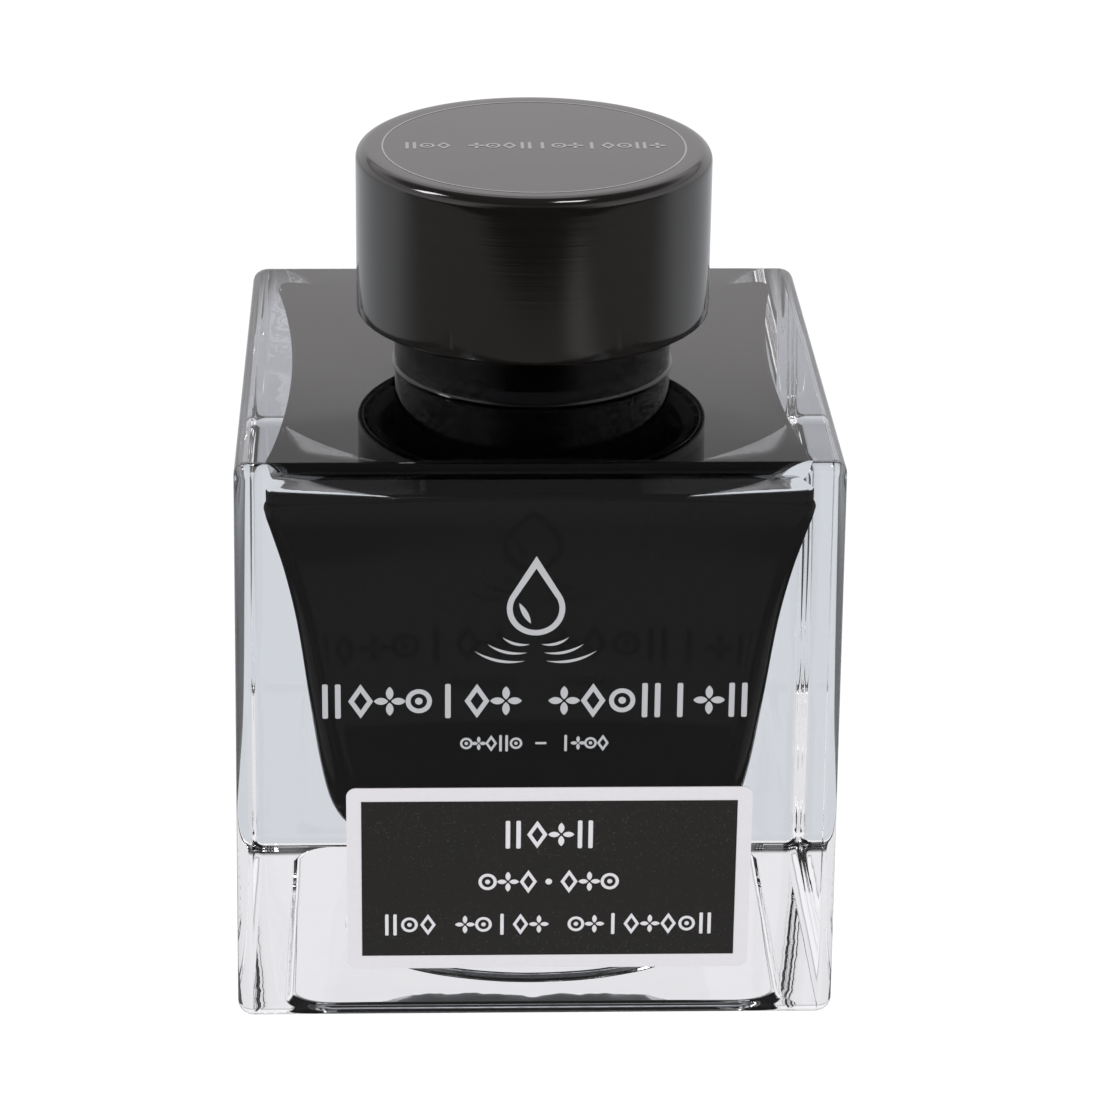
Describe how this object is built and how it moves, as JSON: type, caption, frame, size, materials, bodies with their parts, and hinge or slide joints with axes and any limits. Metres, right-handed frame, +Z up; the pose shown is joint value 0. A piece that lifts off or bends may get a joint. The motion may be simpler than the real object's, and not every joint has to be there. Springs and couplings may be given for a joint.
{
  "type": "ink bottle",
  "caption": "Square thick-walled glass ink bottle with a tapering ink chamber, a label on the front and a round screw cap.",
  "frame": {"origin": "centre of the outline at the foot, on the table", "axes": "+Z up through the neck and cap, -Y toward the labelled front"},
  "size_m": [0.0542, 0.0543, 0.0744],
  "materials": {
    "clear_glass": "polished",
    "ink": "gloss",
    "label_stock": "satin",
    "label_ink": "matte",
    "enamel": "satin",
    "black_anodised": "gloss",
    "insert_plastic": "matte",
    "liner_foam": "matte",
    "cap_ink": "satin"
  },
  "bodies": {
    "bottle": {"glass_bottle": "clear_glass", "ink_fill": "ink", "label_paper": "label_stock", "label_print": "label_ink", "glass_print": "enamel"},
    "liner": {"cap_liner": "liner_foam"},
    "cap": {"cap_shell": "black_anodised", "cap_insert": "insert_plastic", "cap_top_print": "cap_ink"}
  },
  "joints": [
    {"name": "cap_lift", "type": "slide", "parent": "bottle", "child": "liner", "axis": [0, 0, 1], "range_m": [0, 0.0338]},
    {"name": "cap_turn", "type": "hinge", "parent": "liner", "child": "cap", "pos_m": [0, 0, 0.0668], "axis": [0, 0, 1], "range_deg": [0, 2880]}
  ],
  "couplings": [
    {"joint": "cap_turn", "follows": "cap_lift", "rad_per_m": 1484.2}
  ]
}
